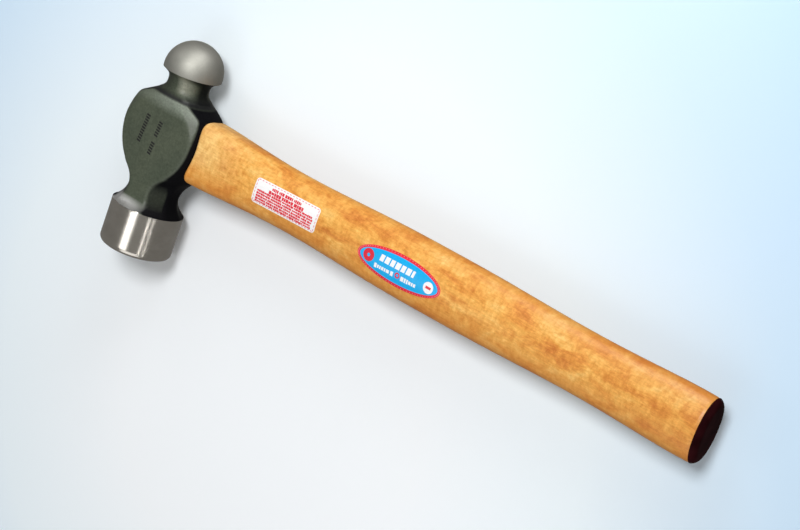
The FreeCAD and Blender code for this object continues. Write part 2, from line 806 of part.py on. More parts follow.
def check_document(pieces):
    doc.recompute()
    for obj in doc.Objects:
        if "Invalid" in obj.State or "Error" in obj.State:
            raise RuntimeError("%s failed: %s" % (obj.Name, obj.State))
    for piece in pieces:
        if piece.Shape.isNull() or not piece.Shape.isValid():
            raise RuntimeError(piece.Label + " has no valid shape")
        if len(piece.Shape.Solids) != 1:
            raise RuntimeError("%s has %d solids" % (piece.Label, len(piece.Shape.Solids)))


def write_pieces(pieces):
    os.makedirs("parts", exist_ok=True)
    for piece in pieces:
        box = piece.Shape.BoundBox
        print("%-18s %8.0f mm3  x %.1f %.1f  y %.1f %.1f  z %.1f %.1f" % (
            piece.Label, piece.Shape.Volume, box.XMin, box.XMax, box.YMin, box.YMax, box.ZMin, box.ZMax))
        piece.Shape.exportStep("parts/" + piece.Label + ".step")


fill_sheet()
head = make_head()
stem, kerf, slit = make_tenon_pieces()
handle = make_handle(stem, kerf, slit)
wedges = make_wedges(stem, kerf, slit)
dip = make_butt_dip()
labels = make_labels()
all_pieces = [head, handle, *wedges, dip, *labels]
check_document(all_pieces)
write_pieces(all_pieces)
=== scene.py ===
"""Looks of the ball peen hammer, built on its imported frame. Lengths are in millimetres unless a note
says metres; the head's are measured from the eye's centre. They turn to metres where a mesh is made."""
import math
import random

import bmesh
import bpy
import numpy as np
from mathutils import Matrix, Vector
from mathutils.bvhtree import BVHTree


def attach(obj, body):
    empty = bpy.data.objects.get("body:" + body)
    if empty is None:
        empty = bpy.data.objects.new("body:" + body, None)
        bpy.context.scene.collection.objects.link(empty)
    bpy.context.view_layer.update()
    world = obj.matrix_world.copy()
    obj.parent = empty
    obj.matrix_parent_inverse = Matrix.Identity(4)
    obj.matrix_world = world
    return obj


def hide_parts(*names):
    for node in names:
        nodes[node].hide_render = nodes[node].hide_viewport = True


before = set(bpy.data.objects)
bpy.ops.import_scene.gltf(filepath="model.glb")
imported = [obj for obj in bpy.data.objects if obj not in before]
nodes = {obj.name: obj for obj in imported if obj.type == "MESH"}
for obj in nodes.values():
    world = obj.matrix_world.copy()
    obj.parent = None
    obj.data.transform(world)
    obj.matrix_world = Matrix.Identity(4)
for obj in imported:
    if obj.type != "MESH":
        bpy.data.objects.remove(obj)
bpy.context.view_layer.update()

MM = 0.001
EYE = Vector((-157.9, 7.0, 20.0))          # the eye's centre in the frame


# ---------------------------------------------------------------- material helpers

class Finish:
    """A material and the few node patterns that the finishes share."""

    def __init__(self, name, color, roughness, metallic=0.0, coat=0.0, coat_roughness=0.1):
        self.material = bpy.data.materials.new(name)
        self.material.use_nodes = True
        self.tree = self.material.node_tree
        self.shader = self.tree.nodes["Principled BSDF"]
        self.shader.inputs["Base Color"].default_value = (*color, 1)
        self.shader.inputs["Roughness"].default_value = roughness
        self.shader.inputs["Metallic"].default_value = metallic
        self.shader.inputs["Coat Weight"].default_value = coat
        self.shader.inputs["Coat Roughness"].default_value = coat_roughness
        self.place = self.tree.nodes.new("ShaderNodeTexCoord").outputs["Object"]

    def link(self, source, target):
        self.tree.links.new(source, target)

    def scaled(self, scale):
        mapping = self.tree.nodes.new("ShaderNodeMapping")
        mapping.inputs["Scale"].default_value = scale
        self.link(self.place, mapping.inputs["Vector"])
        return mapping.outputs["Vector"]

    def noise(self, scale, detail=3.0, roughness=0.5, distortion=0.0):
        """Cloudy values from 0 to 1; scale is in cycles per metre along X, Y and Z."""
        node = self.tree.nodes.new("ShaderNodeTexNoise")
        node.inputs["Scale"].default_value = 1.0
        node.inputs["Detail"].default_value = detail
        node.inputs["Roughness"].default_value = roughness
        node.inputs["Distortion"].default_value = distortion
        self.link(self.scaled(scale), node.inputs["Vector"])
        return node.outputs["Fac"]

    def ramp(self, value, *stops):
        """A colour ramp; each stop is a place and a colour."""
        node = self.tree.nodes.new("ShaderNodeValToRGB")
        elements = node.color_ramp.elements
        while len(elements) < len(stops):
            elements.new(0.5)
        for element, (place, color) in zip(elements, stops):
            element.position = place
            element.color = (*color, 1)
        self.link(value, node.inputs["Fac"])
        return node.outputs["Color"]

    def levels(self, value, low, high, bottom=0.0, top=1.0):
        """Stretch a value from low..high to bottom..top."""
        node = self.tree.nodes.new("ShaderNodeMapRange")
        node.inputs["From Min"].default_value = low
        node.inputs["From Max"].default_value = high
        node.inputs["To Min"].default_value = bottom
        node.inputs["To Max"].default_value = top
        self.link(value, node.inputs["Value"])
        return node.outputs["Result"]

    def fade(self, place, start, end, before=1.0, after=0.0):
        """Go from before to after as a place in metres passes from start to end in millimetres."""
        return self.levels(place, start * MM, end * MM, before, after)

    def math(self, operation, first, second=0.0):
        node = self.tree.nodes.new("ShaderNodeMath")
        node.operation = operation
        for socket, value in zip(node.inputs, (first, second)):
            if isinstance(value, (int, float)):
                socket.default_value = value
            else:
                self.link(value, socket)
        return node.outputs["Value"]

    def product(self, first, *others):
        """Several values multiplied together."""
        for other in others:
            first = self.math("MULTIPLY", first, other)
        return first

    def mix(self, amount, first, second, kind="MIX"):
        node = self.tree.nodes.new("ShaderNodeMix")
        node.data_type = "RGBA"
        node.blend_type = kind
        if isinstance(amount, (int, float)):
            node.inputs["Factor"].default_value = amount
        else:
            self.link(amount, node.inputs["Factor"])
        for name, value in (("A", first), ("B", second)):
            socket = [s for s in node.inputs if s.name == name and s.type == "RGBA"][0]
            if isinstance(value, tuple):
                socket.default_value = (*value, 1)
            else:
                self.link(value, socket)
        return [s for s in node.outputs if s.type == "RGBA"][0]

    def axis(self, name):
        split = self.tree.nodes.new("ShaderNodeSeparateXYZ")
        self.link(self.place, split.inputs[0])
        return split.outputs[name]

    def from_eye(self, name):
        """How far a place is from the eye's centre along X or Y, in metres."""
        centre = EYE.x if name == "X" else EYE.y
        return self.math("SUBTRACT", self.axis(name), centre * MM)

    def normal(self, name):
        split = self.tree.nodes.new("ShaderNodeSeparateXYZ")
        self.link(self.tree.nodes.new("ShaderNodeNewGeometry").outputs["Normal"], split.inputs[0])
        return split.outputs[name]

    def bump(self, *layers):
        """Relief: each layer is a height pattern and its depth in metres."""
        normal = None
        for height, depth in layers:
            node = self.tree.nodes.new("ShaderNodeBump")
            node.inputs["Distance"].default_value = depth
            self.link(height, node.inputs["Height"])
            if normal is not None:
                self.link(normal, node.inputs["Normal"])
            normal = node.outputs["Normal"]
        self.link(normal, self.shader.inputs["Normal"])

    def color(self, source):
        self.link(source, self.shader.inputs["Base Color"])

    def roughness(self, source):
        self.link(source, self.shader.inputs["Roughness"])


OLIVE = (0.057, 0.071, 0.048)
PALE_OLIVE = (0.081, 0.095, 0.063)
# painted shade on the head's sides
SIDE_SHADE_BLACK = (0.0055, 0.0055, 0.0068)
# painted highlight on the bevel
BEVEL_HIGHLIGHT_OLIVE = (0.185, 0.212, 0.17)
# painted highlight up the neck
NECK_HIGHLIGHT_OLIVE = (0.25, 0.26, 0.2)
# painted shade where the neck meets the body
CREASE_SHADE_BLACK = (0.006, 0.006, 0.008)
BARE_STEEL = (0.82, 0.82, 0.8)


def painted_side_shade(look, facing, across, on_neck, off_neck):
    """Where shade is painted near black: the sides that turn away from the cheeks, and the neck's far
    side.
    """
    body_side_shade = look.product(look.levels(facing, 0.5, 0.84, 1.0, 0.0), off_neck)
    neck_flank_shade = look.product(look.levels(facing, 0.2, 0.62, 0.9, 0.0), on_neck)
    neck_far_side_shade = look.product(look.fade(across, -4, 3, 0.5), on_neck)
    return look.math("ADD", body_side_shade, look.math("MAXIMUM", neck_flank_shade, neck_far_side_shade))


def painted_bevel_highlight(look, facing, across, along, off_neck):
    """Where a highlight is painted pale on the bevel round the cheek's ball end, more so towards the
    handle.
    """
    past_cheek = look.fade(along, 13, 18, 0.0, 1.0)
    facing_up = look.levels(facing, 0.76, 0.84)
    to_handle = look.fade(across, -11, 1, 0.45, 1.0)
    return look.product(past_cheek, facing_up, to_handle, off_neck)


def painted_neck_highlight(look, across, along, on_neck):
    """A painted highlight: a pale strip that runs up the neck to the ball."""
    return look.product(look.fade(across, 1, 5, 0.0, 1.0), look.fade(across, 6, 11),
                        look.fade(along, 24.5, 27, 0.0, 1.0), on_neck)


def bare_rim(look, across, along):
    """Where the coating is worn off the flare above the face's rim, on the head's outer side."""
    above_rim = look.math("SUBTRACT", along, RIM * MM)
    return look.product(look.fade(above_rim, 0.4, 4.2), look.fade(across, -2, 10),
                        look.fade(across, -16.5, -11, 0.0, 1.0))


def forged_finish():
    """Olive green coating over forged steel, with painted shade near black on its sides and where the
    neck meets the body, painted highlights on the bevel and up the neck, and bare steel worn through
    above the rim.
    """
    look = Finish("forged_coat", (0.055, 0.066, 0.045), 0.45)
    cloud = look.noise((55, 55, 55), 4, 0.6)
    grain = look.noise((900, 900, 900), 3, 0.6)
    facing = look.math("ABSOLUTE", look.normal("Z"))
    across = look.from_eye("X")
    along = look.from_eye("Y")
    on_neck = look.fade(along, 21.2, 23, 0.0, 1.0)
    off_neck = look.fade(along, 20.5, 22)
    # painted shade: near black on the faces that turn away from the cheeks and on the neck's far side
    scale = painted_side_shade(look, facing, across, on_neck, off_neck)
    # painted shade: a dark band where the neck meets the body
    crease_shade = look.product(look.fade(along, 20.5, 21.6, 0.0, 1.0), look.fade(along, 22.2, 24.5, 0.9))
    bare = bare_rim(look, across, along)

    tone = look.ramp(cloud, (0.25, OLIVE), (0.75, PALE_OLIVE))
    tone = look.mix(scale, tone, SIDE_SHADE_BLACK)
    # painted highlight on the bevel
    tone = look.mix(painted_bevel_highlight(look, facing, across, along, off_neck), tone, BEVEL_HIGHLIGHT_OLIVE)
    # painted highlight up the neck
    tone = look.mix(painted_neck_highlight(look, across, along, on_neck), tone, NECK_HIGHLIGHT_OLIVE)
    tone = look.mix(crease_shade, tone, CREASE_SHADE_BLACK)
    speckle = look.ramp(grain, (0.3, (0.78, 0.78, 0.78)), (0.7, (1.2, 1.2, 1.2)))
    tone = look.mix(1.0, tone, speckle, "MULTIPLY")
    look.color(look.mix(bare, tone, BARE_STEEL))
    # the sheen is lowered where the shade is painted
    look.link(look.levels(scale, 0.0, 1.0, 0.42, 0.04), look.shader.inputs["Specular IOR Level"])
    look.link(bare, look.shader.inputs["Metallic"])
    look.roughness(look.levels(grain, 0.25, 0.75, 0.36, 0.54))
    look.bump((cloud, 0.0006), (grain, 0.00009))
    return look.material


def ground_finish():
    """Bright steel turned on a lathe, with very fine rings round the head's axis."""
    look = Finish("turned_steel", (0.62, 0.58, 0.51), 0.18, metallic=1.0)
    rings = look.noise((18, 2600, 18), 3, 0.7)
    cloud = look.noise((70, 120, 70), 3, 0.55)
    look.color(look.ramp(cloud, (0.3, (0.68, 0.64, 0.57)), (0.7, (0.8, 0.76, 0.69))))
    look.roughness(look.levels(rings, 0.3, 0.7, 0.19, 0.21))
    look.bump((rings, 3e-7))
    return look.material


def ball_finish():
    """Satin steel ground by hand, with short random scratches."""
    look = Finish("satin_steel", (0.6, 0.59, 0.55), 0.55, metallic=1.0)
    grain = look.noise((1300, 1300, 1300), 3, 0.6)
    cloud = look.noise((60, 60, 60), 3, 0.5)
    scratch = look.noise((260, 2600, 900), 2, 0.6, 0.4)
    look.color(look.ramp(cloud, (0.3, (0.39, 0.39, 0.35)), (0.7, (0.5, 0.495, 0.45))))
    look.roughness(look.levels(grain, 0.25, 0.75, 0.56, 0.68))
    look.bump((grain, 0.00003), (scratch, 0.00002))
    return look.material


BROWN_WOOD = (0.62, 0.18, 0.024)
ORANGE_WOOD = (0.84, 0.37, 0.065)
GOLDEN_WOOD = (0.94, 0.5, 0.11)
PALE_WOOD = (0.99, 0.64, 0.2)
ROOT_WOOD = (0.97, 0.68, 0.27)
# painted shade along the handle's edges
EDGE_SHADE_WOOD = (0.74, 0.24, 0.03)


def handle_finish():
    """Light hardwood under a clear lacquer: mottled, paler at the root, and with shade painted browner
    along both edges.
    """
    look = Finish("lacquered_wood", (0.82, 0.44, 0.14), 0.42, coat=0.12, coat_roughness=0.3)
    patch = look.noise((55, 120, 120), 6, 0.66, 0.5)
    figure = look.noise((430, 220, 220), 5, 0.7)
    fibre = look.noise((230, 1150, 1150), 3, 0.65)
    along = look.from_eye("X")
    side = look.from_eye("Y")
    # painted shade, browner towards both edges: most on the face's side, and on the ball's side towards
    # the butt
    face_side_shade = look.fade(side, -4, -16.5, 0.0, 1.0)
    rear = look.fade(along, 150, 300, 0.25, 1.0)
    ball_side_shade = look.product(look.fade(side, 8, 16.5, 0.0, 0.8), rear)
    edge = look.math("ADD", face_side_shade, ball_side_shade)
    root = look.product(look.fade(along, 26, 62, 0.7), look.fade(side, -11, 0, 0.0, 1.0))
    tone = look.ramp(patch, (0.28, BROWN_WOOD), (0.44, ORANGE_WOOD),
                     (0.56, GOLDEN_WOOD), (0.7, PALE_WOOD))
    tone = look.mix(root, tone, ROOT_WOOD)
    streaks = look.ramp(fibre, (0.3, (0.86, 0.79, 0.68)), (0.7, (1.07, 1.09, 1.13)))
    flecks = look.ramp(figure, (0.32, (0.82, 0.68, 0.5)), (0.66, (1.05, 1.1, 1.2)))
    wood = look.mix(1.0, look.mix(1.0, tone, streaks, "MULTIPLY"), flecks, "MULTIPLY")
    # browner where the edges' shade is painted
    look.color(look.mix(look.math("MULTIPLY", edge, 0.62), wood, EDGE_SHADE_WOOD))
    look.roughness(look.levels(fibre, 0.3, 0.7, 0.36, 0.5))
    look.bump((fibre, 0.00003))
    return look.material


def wedge_wood_finish():
    """Raw hardwood, its grain running with the wedge."""
    look = Finish("raw_hardwood", (0.5, 0.31, 0.15), 0.7)
    fibre = look.noise((120, 2200, 2200), 3, 0.65)
    look.color(look.ramp(fibre, (0.3, (0.38, 0.21, 0.09)), (0.7, (0.58, 0.38, 0.19))))
    look.bump((fibre, 0.00006))
    return look.material


def wedge_steel_finish():
    """Plain mild steel, sheared and a little dull."""
    look = Finish("mild_steel", (0.42, 0.42, 0.42), 0.42, metallic=1.0)
    grain = look.noise((800, 2500, 2500), 3, 0.6)
    look.color(look.ramp(grain, (0.3, (0.3, 0.29, 0.28)), (0.7, (0.5, 0.5, 0.5))))
    look.roughness(look.levels(grain, 0.3, 0.7, 0.36, 0.55))
    look.bump((grain, 0.00005))
    return look.material


def butt_finish():
    """Dark maroon lacquer that the butt was dipped in, with a faint orange-peel ripple."""
    look = Finish("dipped_lacquer", (0.022, 0.004, 0.006), 0.22)
    look.shader.inputs["IOR"].default_value = 1.05
    ripple = look.noise((320, 320, 320), 2, 0.5)
    cloud = look.noise((90, 90, 90), 3, 0.5)
    look.color(look.ramp(cloud, (0.3, (0.012, 0.002, 0.003)), (0.7, (0.04, 0.007, 0.009))))
    look.bump((ripple, 0.00006))
    return look.material


def print_finish(name, dark, light):
    """Printed sticker film: ink a little uneven over a fine paper tooth."""
    look = Finish(name, light, 0.38, coat=0.25, coat_roughness=0.2)
    tooth = look.noise((1400, 1400, 1400), 2, 0.5)
    look.color(look.ramp(tooth, (0.3, dark), (0.7, light)))
    look.roughness(look.levels(tooth, 0.3, 0.7, 0.33, 0.46))
    look.bump((tooth, 0.00002))
    return look.material


def stamp_finish():
    """Black left at the bottom of the punched strokes."""
    look = Finish("stamped_black", (0.006, 0.006, 0.006), 0.6)
    tooth = look.noise((1200, 1200, 1200), 2, 0.5)
    look.color(look.ramp(tooth, (0.3, (0.003, 0.003, 0.003)), (0.7, (0.014, 0.014, 0.013))))
    look.bump((tooth, 0.00004))
    return look.material


FLOOR_BRIGHTEST = (-0.058, -0.105, 0)
FLOOR_FADE = 0.42


def floor_finish():
    """Pale backdrop, white near the hammer and faintly blue further out; lengths are in metres."""
    look = Finish("pale_backdrop", (0.9, 0.92, 0.95), 0.95)
    look.shader.inputs["Specular IOR Level"].default_value = 0.0
    distance = look.tree.nodes.new("ShaderNodeVectorMath")
    distance.operation = "DISTANCE"
    distance.inputs[1].default_value = FLOOR_BRIGHTEST
    look.link(look.place, distance.inputs[0])
    spread = look.levels(distance.outputs["Value"], 0.0, FLOOR_FADE)
    look.color(look.ramp(spread, (0.24, (0.93, 0.965, 0.995)), (0.46, (0.86, 0.945, 0.995)),
                         (0.7, (0.65, 0.82, 0.98)), (1.0, (0.48, 0.71, 0.96))))
    return look.material


# ---------------------------------------------------------------- hammer head

# striking face
FACE_RADIUS = 20.0
FACE_END = -66.8
FACE_EDGE = 3.0
RIM = -41.0
# turned blank of the lower neck, then the barrel as radius and level at both ends
BLANK_RADIUS = 16.3
BLANK_LOW = -36.0
BLANK_TOP = -27.0
BARREL_LOW = (20.6, -19.0)
CORNER = (24.2, 16.8)
BARREL_BULGE = 36.0
# upper neck
THROAT_RADIUS = 11.5
THROAT_LOW = 28.1
THROAT_TOP = 29.6
THROAT_FLARE = 5.85
FLARE_START = 23.17
NECK_FOOT = 19.0
THROAT_FLAT = 11.35
# ball, its lower edge, and the radius and level where the fillet under it turns straight
LIP_ROUND = 4.5
LIP_ROOT = (13.7, 33.47)
LIP = 34.9
BALL_RADIUS = 16.2
BALL_CENTRE = 36.6
# cheeks and their bevels
CHEEK_HALF = 13.8
CHEEK_LOW = -34.5
CHEEK_FLARE = 7.5
BEVEL_RADIUS = 24.2
BEVEL_LOW = 4.4
BEVEL_SLOPE = 0.6
# scoops beside the lower neck: half the width left between a pair, and their radius
NECK_LEVEL = -32.0
SIDE_SCOOP = (14.6, 13.2)
DIAGONAL_SCOOP = (14.0, 12.6)
DIAGONAL_TURN = math.radians(38.8)
# eye
EYE_ROUND = 8.5
EYE_CENTRES = 8.0
CUTTER_REACH = 40
CUTTER_ARC_STEPS = 24
# rounding of worn edges and of inner corners
WORN_EDGE = 1.2
BEVEL_WEAR = 0.6
FORGED_FILLET = 1.6
CREASE_ANGLE = 32
# how finely the skin is made
COLUMNS = 288
ROW_STEP = 0.45
FINE_STEP = 0.12
FINE_START = -42.0
FIRST_ABOVE_RIM = 0.05
CLEAR_OF_LIP = 0.3
BALL_TOP_RADIUS = 0.2
FACE_EDGE_STEPS = 8
WALL_ROWS = 30
BALL_ROWS = 60
SEARCH_RADIUS = 30.0
HALVINGS = 30
# places of the finishes in the head's list, and the play with which a face is told to be one of them
FORGED, TURNED, SATIN = range(3)
WALL_PLAY = 0.25
LIP_PLAY = 0.06


def smooth_max(first, second, blend):
    """The larger of two fields, rounded where they meet."""
    near = np.maximum(blend - np.abs(first - second), 0) / blend
    return np.maximum(first, second) + near * near * blend / 4


def smooth_min(first, second, blend):
    return -smooth_max(-first, -second, blend)


def barrel_radius(level):
    """Bulged barrel through the neck's top and the shoulder's corner."""
    rise = CORNER[1] - BARREL_LOW[1]
    run = CORNER[0] - BARREL_LOW[0]
    chord = math.hypot(rise, run)
    back = math.sqrt(BARREL_BULGE ** 2 - chord ** 2 / 4)
    centre_r = (CORNER[0] + BARREL_LOW[0]) / 2 - back * rise / chord
    centre_y = (CORNER[1] + BARREL_LOW[1]) / 2 + back * run / chord
    reach = np.sqrt(np.maximum(BARREL_BULGE ** 2 - (level - centre_y) ** 2, 1))
    return centre_r + reach


def blank_radius(level):
    """Turned radius of the forging from the face's rim to the barrel."""
    low = np.interp(level, (RIM, BLANK_LOW, BLANK_TOP, BARREL_LOW[1]),
                    (FACE_RADIUS, BLANK_RADIUS, BLANK_RADIUS, BARREL_LOW[0]))
    return np.where(level < BARREL_LOW[1], low, barrel_radius(level))


def throat_radius(level):
    """Radius of the upper neck, with a fillet below it and another up to the ball's lower edge."""
    flare = THROAT_RADIUS + THROAT_FLARE
    rise = THROAT_LOW - np.maximum(level, FLARE_START)
    low = flare - np.sqrt(np.maximum(THROAT_FLARE ** 2 - rise ** 2, 0))
    lip_radius = math.sqrt(BALL_RADIUS ** 2 - (BALL_CENTRE - LIP) ** 2)
    root = THROAT_RADIUS + LIP_ROUND
    high = root - np.sqrt(np.maximum(LIP_ROUND ** 2 - (level - THROAT_TOP) ** 2, 0))
    high = np.where(level > THROAT_TOP + LIP_ROUND, root, high)
    slant = lip_radius - (LIP - level) * (lip_radius - LIP_ROOT[0]) / (LIP - LIP_ROOT[1])
    high = np.where(level > LIP_ROOT[1], slant, high)
    middle = np.where(level < THROAT_LOW, low, THROAT_RADIUS)
    return np.where(level > THROAT_TOP, high, middle)


def scoop(across, level, half, radius):
    """Round hollow beside the neck: above 0 inside it."""
    return radius - np.hypot(np.abs(across) - half - radius, level - NECK_LEVEL)


def shoulder_slope():
    """Rise of the shoulder for each millimetre inwards, tangent to the upper neck's lower fillet."""
    across = THROAT_RADIUS + THROAT_FLARE - CORNER[0]
    up = THROAT_LOW - CORNER[1]
    tilt = math.atan2(up, -across) - math.asin(THROAT_FLARE / math.hypot(across, up))
    return math.tan(tilt)


def head_field(x, y, z):
    """Below 0 inside the forging, above 0 outside, about the distance in millimetres."""
    radius = np.hypot(x, z)
    slope = shoulder_slope()
    shoulder = ((radius - CORNER[0]) * slope + y - CORNER[1]) / math.hypot(1, slope)
    body = smooth_max(radius - blank_radius(y), shoulder, WORN_EDGE)
    reach = np.clip((CHEEK_LOW - y) / CHEEK_FLARE, 0, 1)
    cheek = np.abs(z) - CHEEK_HALF - CHEEK_FLARE * (1 - np.sqrt(1 - reach ** 2))
    body = smooth_max(body, cheek, WORN_EDGE)
    past_edge = np.hypot(x, y + BEVEL_LOW) - BEVEL_RADIUS
    bevel = (np.abs(z) - CHEEK_HALF + BEVEL_SLOPE * past_edge) / math.hypot(1, BEVEL_SLOPE)
    body = np.where(y > -BEVEL_LOW, smooth_max(body, bevel, BEVEL_WEAR), body)
    body = smooth_max(body, scoop(x, y, *SIDE_SCOOP), WORN_EDGE)
    for turn in (DIAGONAL_TURN, -DIAGONAL_TURN):
        across = x * math.cos(turn) + z * math.sin(turn)
        body = smooth_max(body, scoop(across, y, *DIAGONAL_SCOOP), WORN_EDGE)
    neck = smooth_max(radius - throat_radius(y), np.abs(z) - THROAT_FLAT, WORN_EDGE)
    neck = np.where(y > THROAT_TOP, radius - throat_radius(y), neck)
    neck = np.maximum(neck, NECK_FOOT - y)
    return smooth_min(body, neck, FORGED_FILLET)


def surface_row(level, angles):
    """Distance from the head's axis to the forging's skin at one level, all the way round."""
    inner = np.zeros_like(angles)
    outer = np.full_like(angles, SEARCH_RADIUS)
    y = np.full_like(angles, level)
    for _ in range(HALVINGS):
        middle = (inner + outer) / 2
        outside = head_field(middle * np.sin(angles), y, middle * np.cos(angles)) > 0
        outer = np.where(outside, middle, outer)
        inner = np.where(outside, inner, middle)
    return inner


def head_rows(angles):
    """Rows of the head's skin from the striking face's centre to the ball's top."""
    rows = []

    def ring(radius, level):
        rows.append((np.full_like(angles, radius), level))

    flat = FACE_RADIUS - FACE_EDGE
    for share in (0.02, 0.2, 0.45, 0.7, 0.9, 1.0):
        ring(flat * share, FACE_END)
    for step in range(1, FACE_EDGE_STEPS + 1):
        turn = math.pi / 2 * step / FACE_EDGE_STEPS
        ring(flat + FACE_EDGE * math.sin(turn), FACE_END + FACE_EDGE * (1 - math.cos(turn)))
    for level in np.linspace(FACE_END + FACE_EDGE, FINE_START, WALL_ROWS)[1:]:
        ring(FACE_RADIUS, level)
    fine = np.arange(FINE_START + FINE_STEP, RIM, FINE_STEP)
    coarse = np.arange(RIM + FIRST_ABOVE_RIM, LIP - CLEAR_OF_LIP, ROW_STEP)
    for level in (*fine, RIM, *coarse, LIP - FINE_STEP):
        rows.append((surface_row(level, angles), level))
    start = math.asin((LIP - BALL_CENTRE) / BALL_RADIUS)
    for step in range(BALL_ROWS):
        turn = start + (math.pi / 2 - start) * step / BALL_ROWS
        ring(BALL_RADIUS * math.cos(turn), BALL_CENTRE + BALL_RADIUS * math.sin(turn))
    ring(BALL_TOP_RADIUS, BALL_CENTRE + BALL_RADIUS)
    return rows


def stadium_cutter():
    """The eye's opening as a closed prism, right through the head."""
    mesh = bpy.data.meshes.new("eye_cutter")
    build = bmesh.new()
    loop = []
    for sign in (1, -1):
        for step in range(CUTTER_ARC_STEPS + 1):
            turn = math.pi * step / CUTTER_ARC_STEPS
            loop.append((sign * (EYE_CENTRES + EYE_ROUND * math.sin(turn)),
                         sign * EYE_ROUND * math.cos(turn)))
    ends = []
    for x in (-CUTTER_REACH, CUTTER_REACH):
        ends.append([build.verts.new((EYE + Vector((x, y, z))) * MM) for y, z in loop])
    for index in range(len(loop)):
        after = (index + 1) % len(loop)
        build.faces.new((ends[0][index], ends[0][after], ends[1][after], ends[1][index]))
    build.faces.new(ends[0][::-1])
    build.faces.new(ends[1])
    bmesh.ops.recalc_face_normals(build, faces=build.faces)
    build.to_mesh(mesh)
    build.free()
    cutter = bpy.data.objects.new("eye_cutter", mesh)
    bpy.context.scene.collection.objects.link(cutter)
    return cutter


def make_head(finishes):
    """The head as one skin, with worn edges between its facets, and the eye cut through it."""
    angles = np.arange(COLUMNS) * 2 * math.pi / COLUMNS
    rows = head_rows(angles)
    build = bmesh.new()
    rings = []
    for radii, level in rows:
        ring = [build.verts.new((EYE + Vector((r * math.sin(a), level, r * math.cos(a)))) * MM)
                for r, a in zip(radii, angles)]
        rings.append(ring)
    for low, high in zip(rings, rings[1:]):
        for index in range(COLUMNS):
            after = (index + 1) % COLUMNS
            face = build.faces.new((low[index], low[after], high[after], high[index]))
            centre = face.calc_center_median() / MM - EYE
            on_wall = centre.y < RIM and math.hypot(centre.x, centre.z) > FACE_RADIUS - WALL_PLAY
            if centre.y > LIP - LIP_PLAY:
                face.material_index = SATIN
            elif on_wall or centre.y < FACE_END + FACE_EDGE:
                face.material_index = TURNED
            else:
                face.material_index = FORGED
    build.faces.new(rings[0][::-1]).material_index = TURNED
    build.faces.new(rings[-1]).material_index = SATIN
    bmesh.ops.recalc_face_normals(build, faces=build.faces)
    mesh = bpy.data.meshes.new("forged_head")
    build.to_mesh(mesh)
    build.free()
    head = bpy.data.objects.new("forged_head", mesh)
    bpy.context.scene.collection.objects.link(head)
    for finish in finishes:
        mesh.materials.append(finish)
    cutter = stadium_cutter()
    cut = head.modifiers.new("eye", "BOOLEAN")
    cut.operation = "DIFFERENCE"
    cut.solver = "EXACT"
    cut.object = cutter
    bake_modifiers(head)
    bpy.data.objects.remove(cutter)
    smooth(head, CREASE_ANGLE)
    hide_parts("hammer_head")
    return finish_piece(head)


def bake_modifiers(obj):
    """Replace an object's mesh with what its modifiers make of it."""
    graph = bpy.context.evaluated_depsgraph_get()
    result = bpy.data.meshes.new_from_object(obj.evaluated_get(graph))
    obj.modifiers.clear()
    old = obj.data
    obj.data = result
    bpy.data.meshes.remove(old)


def smooth(obj, degrees):
    obj.data.shade_smooth()
    obj.data.set_sharp_from_angle(angle=math.radians(degrees))


def finish_piece(obj):
    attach(obj, "root")
    return obj


# ---------------------------------------------------------------- printed and stamped marks

ABOVE_ALL = 0.2              # metres
INK_LIFT = 0.03              # how far each further layer of ink stands above the last
CELL_HEIGHT = 1.2            # a bar is divided into cells of about this size, to bend with the skin
CELL_LENGTH = 1.5
PRINT_CREASE = 40


def skin_height(tree, x, y):
    """Height of the skin under a point, in metres, found from above."""
    hit = tree.ray_cast(Vector((x, y, ABOVE_ALL)), Vector((0, 0, -1)))[0]
    if hit is None:
        raise ValueError("no skin under %.4f, %.4f" % (x, y))
    return hit.z


def tree_of(*objects):
    """A search tree over the meshes of some objects."""
    points = []
    faces = []
    for obj in objects:
        first = len(points)
        points += [v.co.copy() for v in obj.data.vertices]
        faces += [[first + i for i in face.vertices] for face in obj.data.polygons]
    return BVHTree.FromPolygons(points, faces)


